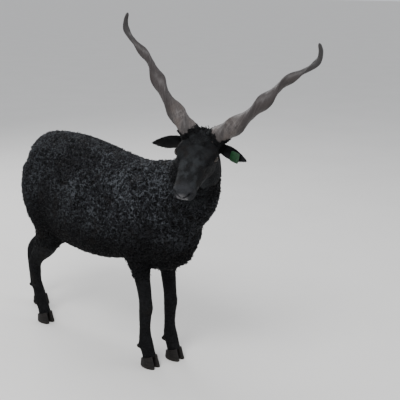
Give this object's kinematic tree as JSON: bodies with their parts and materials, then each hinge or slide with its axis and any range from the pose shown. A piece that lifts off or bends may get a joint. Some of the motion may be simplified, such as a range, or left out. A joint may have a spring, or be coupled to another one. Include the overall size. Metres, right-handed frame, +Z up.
{
  "type": "zackel sheep model",
  "caption": "Life-size still model of a shorn black sheep with long spiral horns in a V, standing with its head turned to its right, and a blank tag in its left ear.",
  "frame": {"origin": "on the floor, under the middle of the bounding box", "axes": "+Z up, -Y the way the body faces, +X to the animal's left"},
  "size_m": [0.3818, 1.294, 1.1629],
  "materials": {
    "coat": "short curly wool, matt",
    "horn": "ridged slate grey horn",
    "hoof": "dull dark hoof horn",
    "eye": "wet gloss",
    "tag": "moulded green, blank"
  },
  "bodies": {
    "root": {"ear_left": "coat", "ear_right": "coat", "ear_tag": "tag", "eye_left": "eye", "eye_right": "eye", "fore_leg_left": "coat", "fore_leg_right": "coat", "head": "coat", "hind_leg_left": "coat", "hind_leg_right": "coat", "hoof_fore_left_left_claw": "hoof", "hoof_fore_left_right_claw": "hoof", "hoof_fore_right_left_claw": "hoof", "hoof_fore_right_right_claw": "hoof", "hoof_hind_left_left_claw": "hoof", "hoof_hind_left_right_claw": "hoof", "hoof_hind_right_left_claw": "hoof", "hoof_hind_right_right_claw": "hoof", "horn_left": "horn", "horn_right": "horn", "neck": "coat", "tail": "coat", "torso": "coat"}
  },
  "joints": []
}
